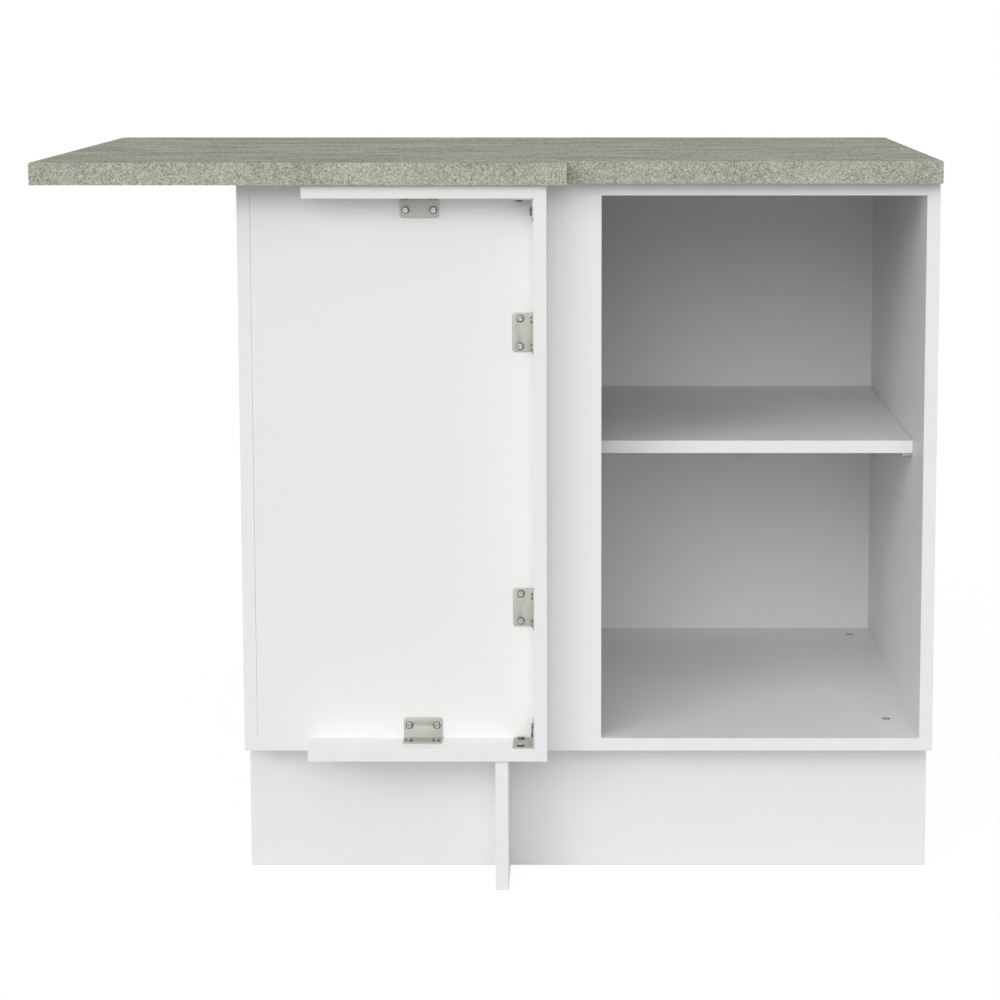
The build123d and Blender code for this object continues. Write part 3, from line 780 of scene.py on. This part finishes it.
def shelfPeg():  # along z from the side's face, with its flat towards x
    setAside()
    bpy.ops.mesh.primitive_cylinder_add(vertices=peg["sides"], radius=peg["radius"], depth=peg["length"],
                                        location=(0, 0, peg["length"] / 2))
    piece = begun("shelfPeg")
    pick(piece, "FACE", lambda middle: middle.z > peg["length"] - touch)
    bpy.ops.mesh.bevel(offset=peg["round"], segments=peg["roundSteps"], affect="EDGES")
    pick(piece, "FACE", lambda middle: middle.z < touch)
    bpy.ops.mesh.inset(thickness=peg["radius"] - peg["shankRadius"])
    pull((0, 0, peg["shankTip"] - peg["shankLength"]))
    pull((0, 0, -peg["shankTip"]), peg["shankTaper"])
    bpy.ops.mesh.select_all(action="SELECT")
    bpy.ops.mesh.bisect(plane_co=(peg["radius"] - peg["flat"], 0, 0), plane_no=(1, 0, 0), clear_outer=True,
                        threshold=weld)
    bpy.ops.mesh.edge_face_add()
    smoothed(piece)
    return piece


pegSeats = []
for low, high in solidsOf("shelf_pegs"):
    onLeft = low.x < (cadBox[0][0] + cadBox[1][0]) / 2
    face = high.x - peg["length"] if onLeft else low.x + peg["length"]
    middle = high.z - peg["radius"] + peg["flat"]      # the flat is what the shelf rests on
    pegSeats.append(seatAt((face, (low.y + high.y) / 2, middle), right if onLeft else left, up))
setOut(shelfPeg(), "shelfPegs", pegSeats, pegNickel, "shelf_pegs")


# Nails of the back sheet: a low round head, a thin shank and a point
nail = {
    "sides": 20,
    "headRadius": 1.6 * mm,
    "headHeight": 0.6 * mm,
    "headSteps": 3,
    "radius": 0.7 * mm,
    "length": 14.0 * mm,
    "point": 1.6 * mm,
    "pointTaper": 0.1,
}


def backNail():  # head flush with z = 0
    setAside()
    bpy.ops.mesh.primitive_cylinder_add(vertices=nail["sides"], radius=nail["headRadius"],
                                        depth=nail["headHeight"], location=(0, 0, -nail["headHeight"] / 2))
    piece = begun("backNail")
    pick(piece, "FACE", lambda middle: middle.z > -touch)
    bpy.ops.mesh.bevel(offset=nail["headHeight"] / 2, segments=nail["headSteps"], affect="EDGES")
    pick(piece, "FACE", lambda middle: middle.z < touch - nail["headHeight"])
    bpy.ops.mesh.inset(thickness=nail["headRadius"] - nail["radius"])
    pull((0, 0, nail["headHeight"] + nail["point"] - nail["length"]))
    pull((0, 0, -nail["point"]), nail["pointTaper"])
    smoothed(piece)
    return piece


setOut(backNail(), "backNails", headSeats("back_nails", backward), plateZinc, "back_nails")
print("pegs and nails made")


# Beech of the dowels
beech = {
    "light": (0.58, 0.42, 0.26, 1),
    "dark": (0.46, 0.31, 0.17, 1),
    "grainScale": 180,
    "roughness": 0.6,
}


def dowelBeech():
    finish = Finish("dowelBeech", Roughness=beech["roughness"])
    grain = finish.noise(beech["grainScale"], detail=4.0, roughness=0.6)
    finish.feed(Base_Color=finish.blend(grain, beech["dark"], beech["light"]))
    return finish


paint(dowelBeech(), "rail_dowels", "panel_dowels", "plinth_dowels", "foot_dowel")
print("dowels painted")


# Floor, light and background
studio = {
    "floorHalf": 20.0,
    "floorColour": 0.58,
    "floorRough": 0.9,
    "floorShown": 0.08,           # share of the real floor, with its shadow, in what the camera sees
    "floorWhite": 1.05,
    "skyStrength": 0.48,
    "lampPlace": (-1, -4, 2),     # clear of the object. A sun lamp's light doesn't depend on it
}
lamps = {  # wide soft lamps far away: strength, elevation, degrees to the left, width in degrees
    "front": (0.68, 22, 0, 32),
    "left": (0.73, 22, 35, 32),
    "high": (0.24, 55, 0, 32),
}


def seenDirectly(nodes):  # 1 for rays from the camera, mirrors and glass
    direct, mirrored, through = (nodes.node("ShaderNodeLightPath", output=name) for name in
                                 ("Is Camera Ray", "Is Glossy Ray", "Is Transmission Ray"))
    return direct | mirrored | through


def floorPaint():
    finish = Finish("floorPaint", Base_Color=grey(studio["floorColour"]),
                    Roughness=studio["floorRough"], Specular_IOR_Level=0.0)
    white = finish.node("ShaderNodeEmission", inputs={"Color": grey(1), "Strength": studio["floorWhite"]})
    share = seenDirectly(finish) * (1 - studio["floorShown"])
    real = Wire(finish.tree, finish.shader.outputs[0])
    mixed = finish.node("ShaderNodeMixShader", inputs={0: share, 1: real, 2: white})
    plug(finish.tree, finish.tree.nodes["Material Output"].inputs["Surface"], mixed)
    return finish


bpy.ops.object.select_all(action="DESELECT")
bpy.ops.mesh.primitive_plane_add(size=2 * studio["floorHalf"], location=(0, 0, 0))
floor = bpy.context.object
floor.name = "floor"
floor.data.materials.append(floorPaint().material)

world = bpy.data.worlds.new("studioAir")
bpy.context.scene.world = world
world.use_nodes = True
air = world.node_tree.nodes["Background"]
air.inputs["Color"].default_value = grey(1)
strength = studio["skyStrength"] + seenDirectly(Nodes(world.node_tree)) * (1 - studio["skyStrength"])
plug(world.node_tree, air.inputs["Strength"], strength)

for name, (power, elevation, toLeft, width) in lamps.items():
    bpy.ops.object.light_add(type="SUN", location=studio["lampPlace"],
                             rotation=(radians(90 - elevation), 0, -radians(toLeft)))
    lamp = bpy.context.object
    lamp.name = name
    lamp.data.energy = power
    lamp.data.angle = radians(width)
print("studio lit")
